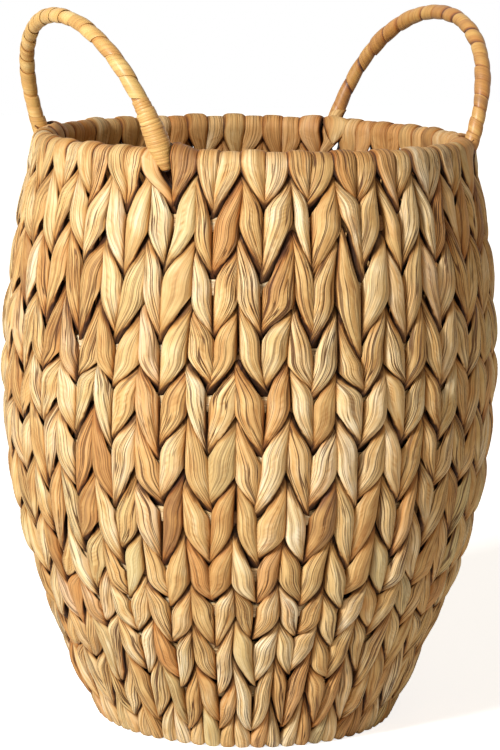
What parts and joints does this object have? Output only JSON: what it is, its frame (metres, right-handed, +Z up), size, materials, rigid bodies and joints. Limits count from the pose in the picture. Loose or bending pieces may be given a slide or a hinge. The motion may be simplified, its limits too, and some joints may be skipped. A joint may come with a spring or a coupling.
{
  "type": "laundry basket",
  "caption": "Tall barrel-shaped laundry basket of water hyacinth leaf twined on a wire frame, open at the top, with an arched leaf-wound handle on each side.",
  "frame": {"origin": "middle of the face that the basket stands on", "axes": "+Z up through the open mouth; the handles stand on the +X and -X sides"},
  "size_m": [0.4292, 0.4296, 0.6251],
  "materials": {
    "outer_leaf": "dried water hyacinth leaf, pale straw, fibrous, satin",
    "inner_leaf": "dried water hyacinth leaf, warm brown, fibrous, satin",
    "hoop_leaf": "dried water hyacinth leaf laid along the hoop, matt",
    "handle_leaf": "dried water hyacinth leaf wound tight, golden, smooth satin",
    "iron_wire": "black lacquered iron wire"
  },
  "bodies": {
    "root": {"rim_ring": "iron_wire", "foot_ring": "iron_wire", "hoop_01": "hoop_leaf", "hoop_02": "hoop_leaf", "hoop_03": "hoop_leaf", "hoop_04": "hoop_leaf", "hoop_05": "hoop_leaf", "hoop_06": "hoop_leaf", "hoop_07": "hoop_leaf", "hoop_08": "hoop_leaf", "hoop_09": "hoop_leaf", "hoop_10": "hoop_leaf", "upright_wire_1": "iron_wire", "upright_wire_2": "iron_wire", "upright_wire_3": "iron_wire", "upright_wire_4": "iron_wire", "upright_wire_5": "iron_wire", "upright_wire_6": "iron_wire", "upright_wire_7": "iron_wire", "upright_wire_8": "iron_wire", "cross_wire_long": "iron_wire", "cross_wire_half_1": "iron_wire", "cross_wire_half_2": "iron_wire", "base_weave_upper": "inner_leaf", "base_weave_lower": "inner_leaf", "outer_weave": "outer_leaf", "inner_weave": "inner_leaf", "rim_fold": "outer_leaf", "foot_fold": "outer_leaf", "handle_rod_right": "iron_wire", "handle_rod_left": "iron_wire", "handle_wrap_right": "handle_leaf", "handle_wrap_left": "handle_leaf", "handle_lashing_right_1": "handle_leaf", "handle_lashing_right_2": "handle_leaf", "handle_lashing_left_1": "handle_leaf", "handle_lashing_left_2": "handle_leaf"}
  },
  "joints": []
}
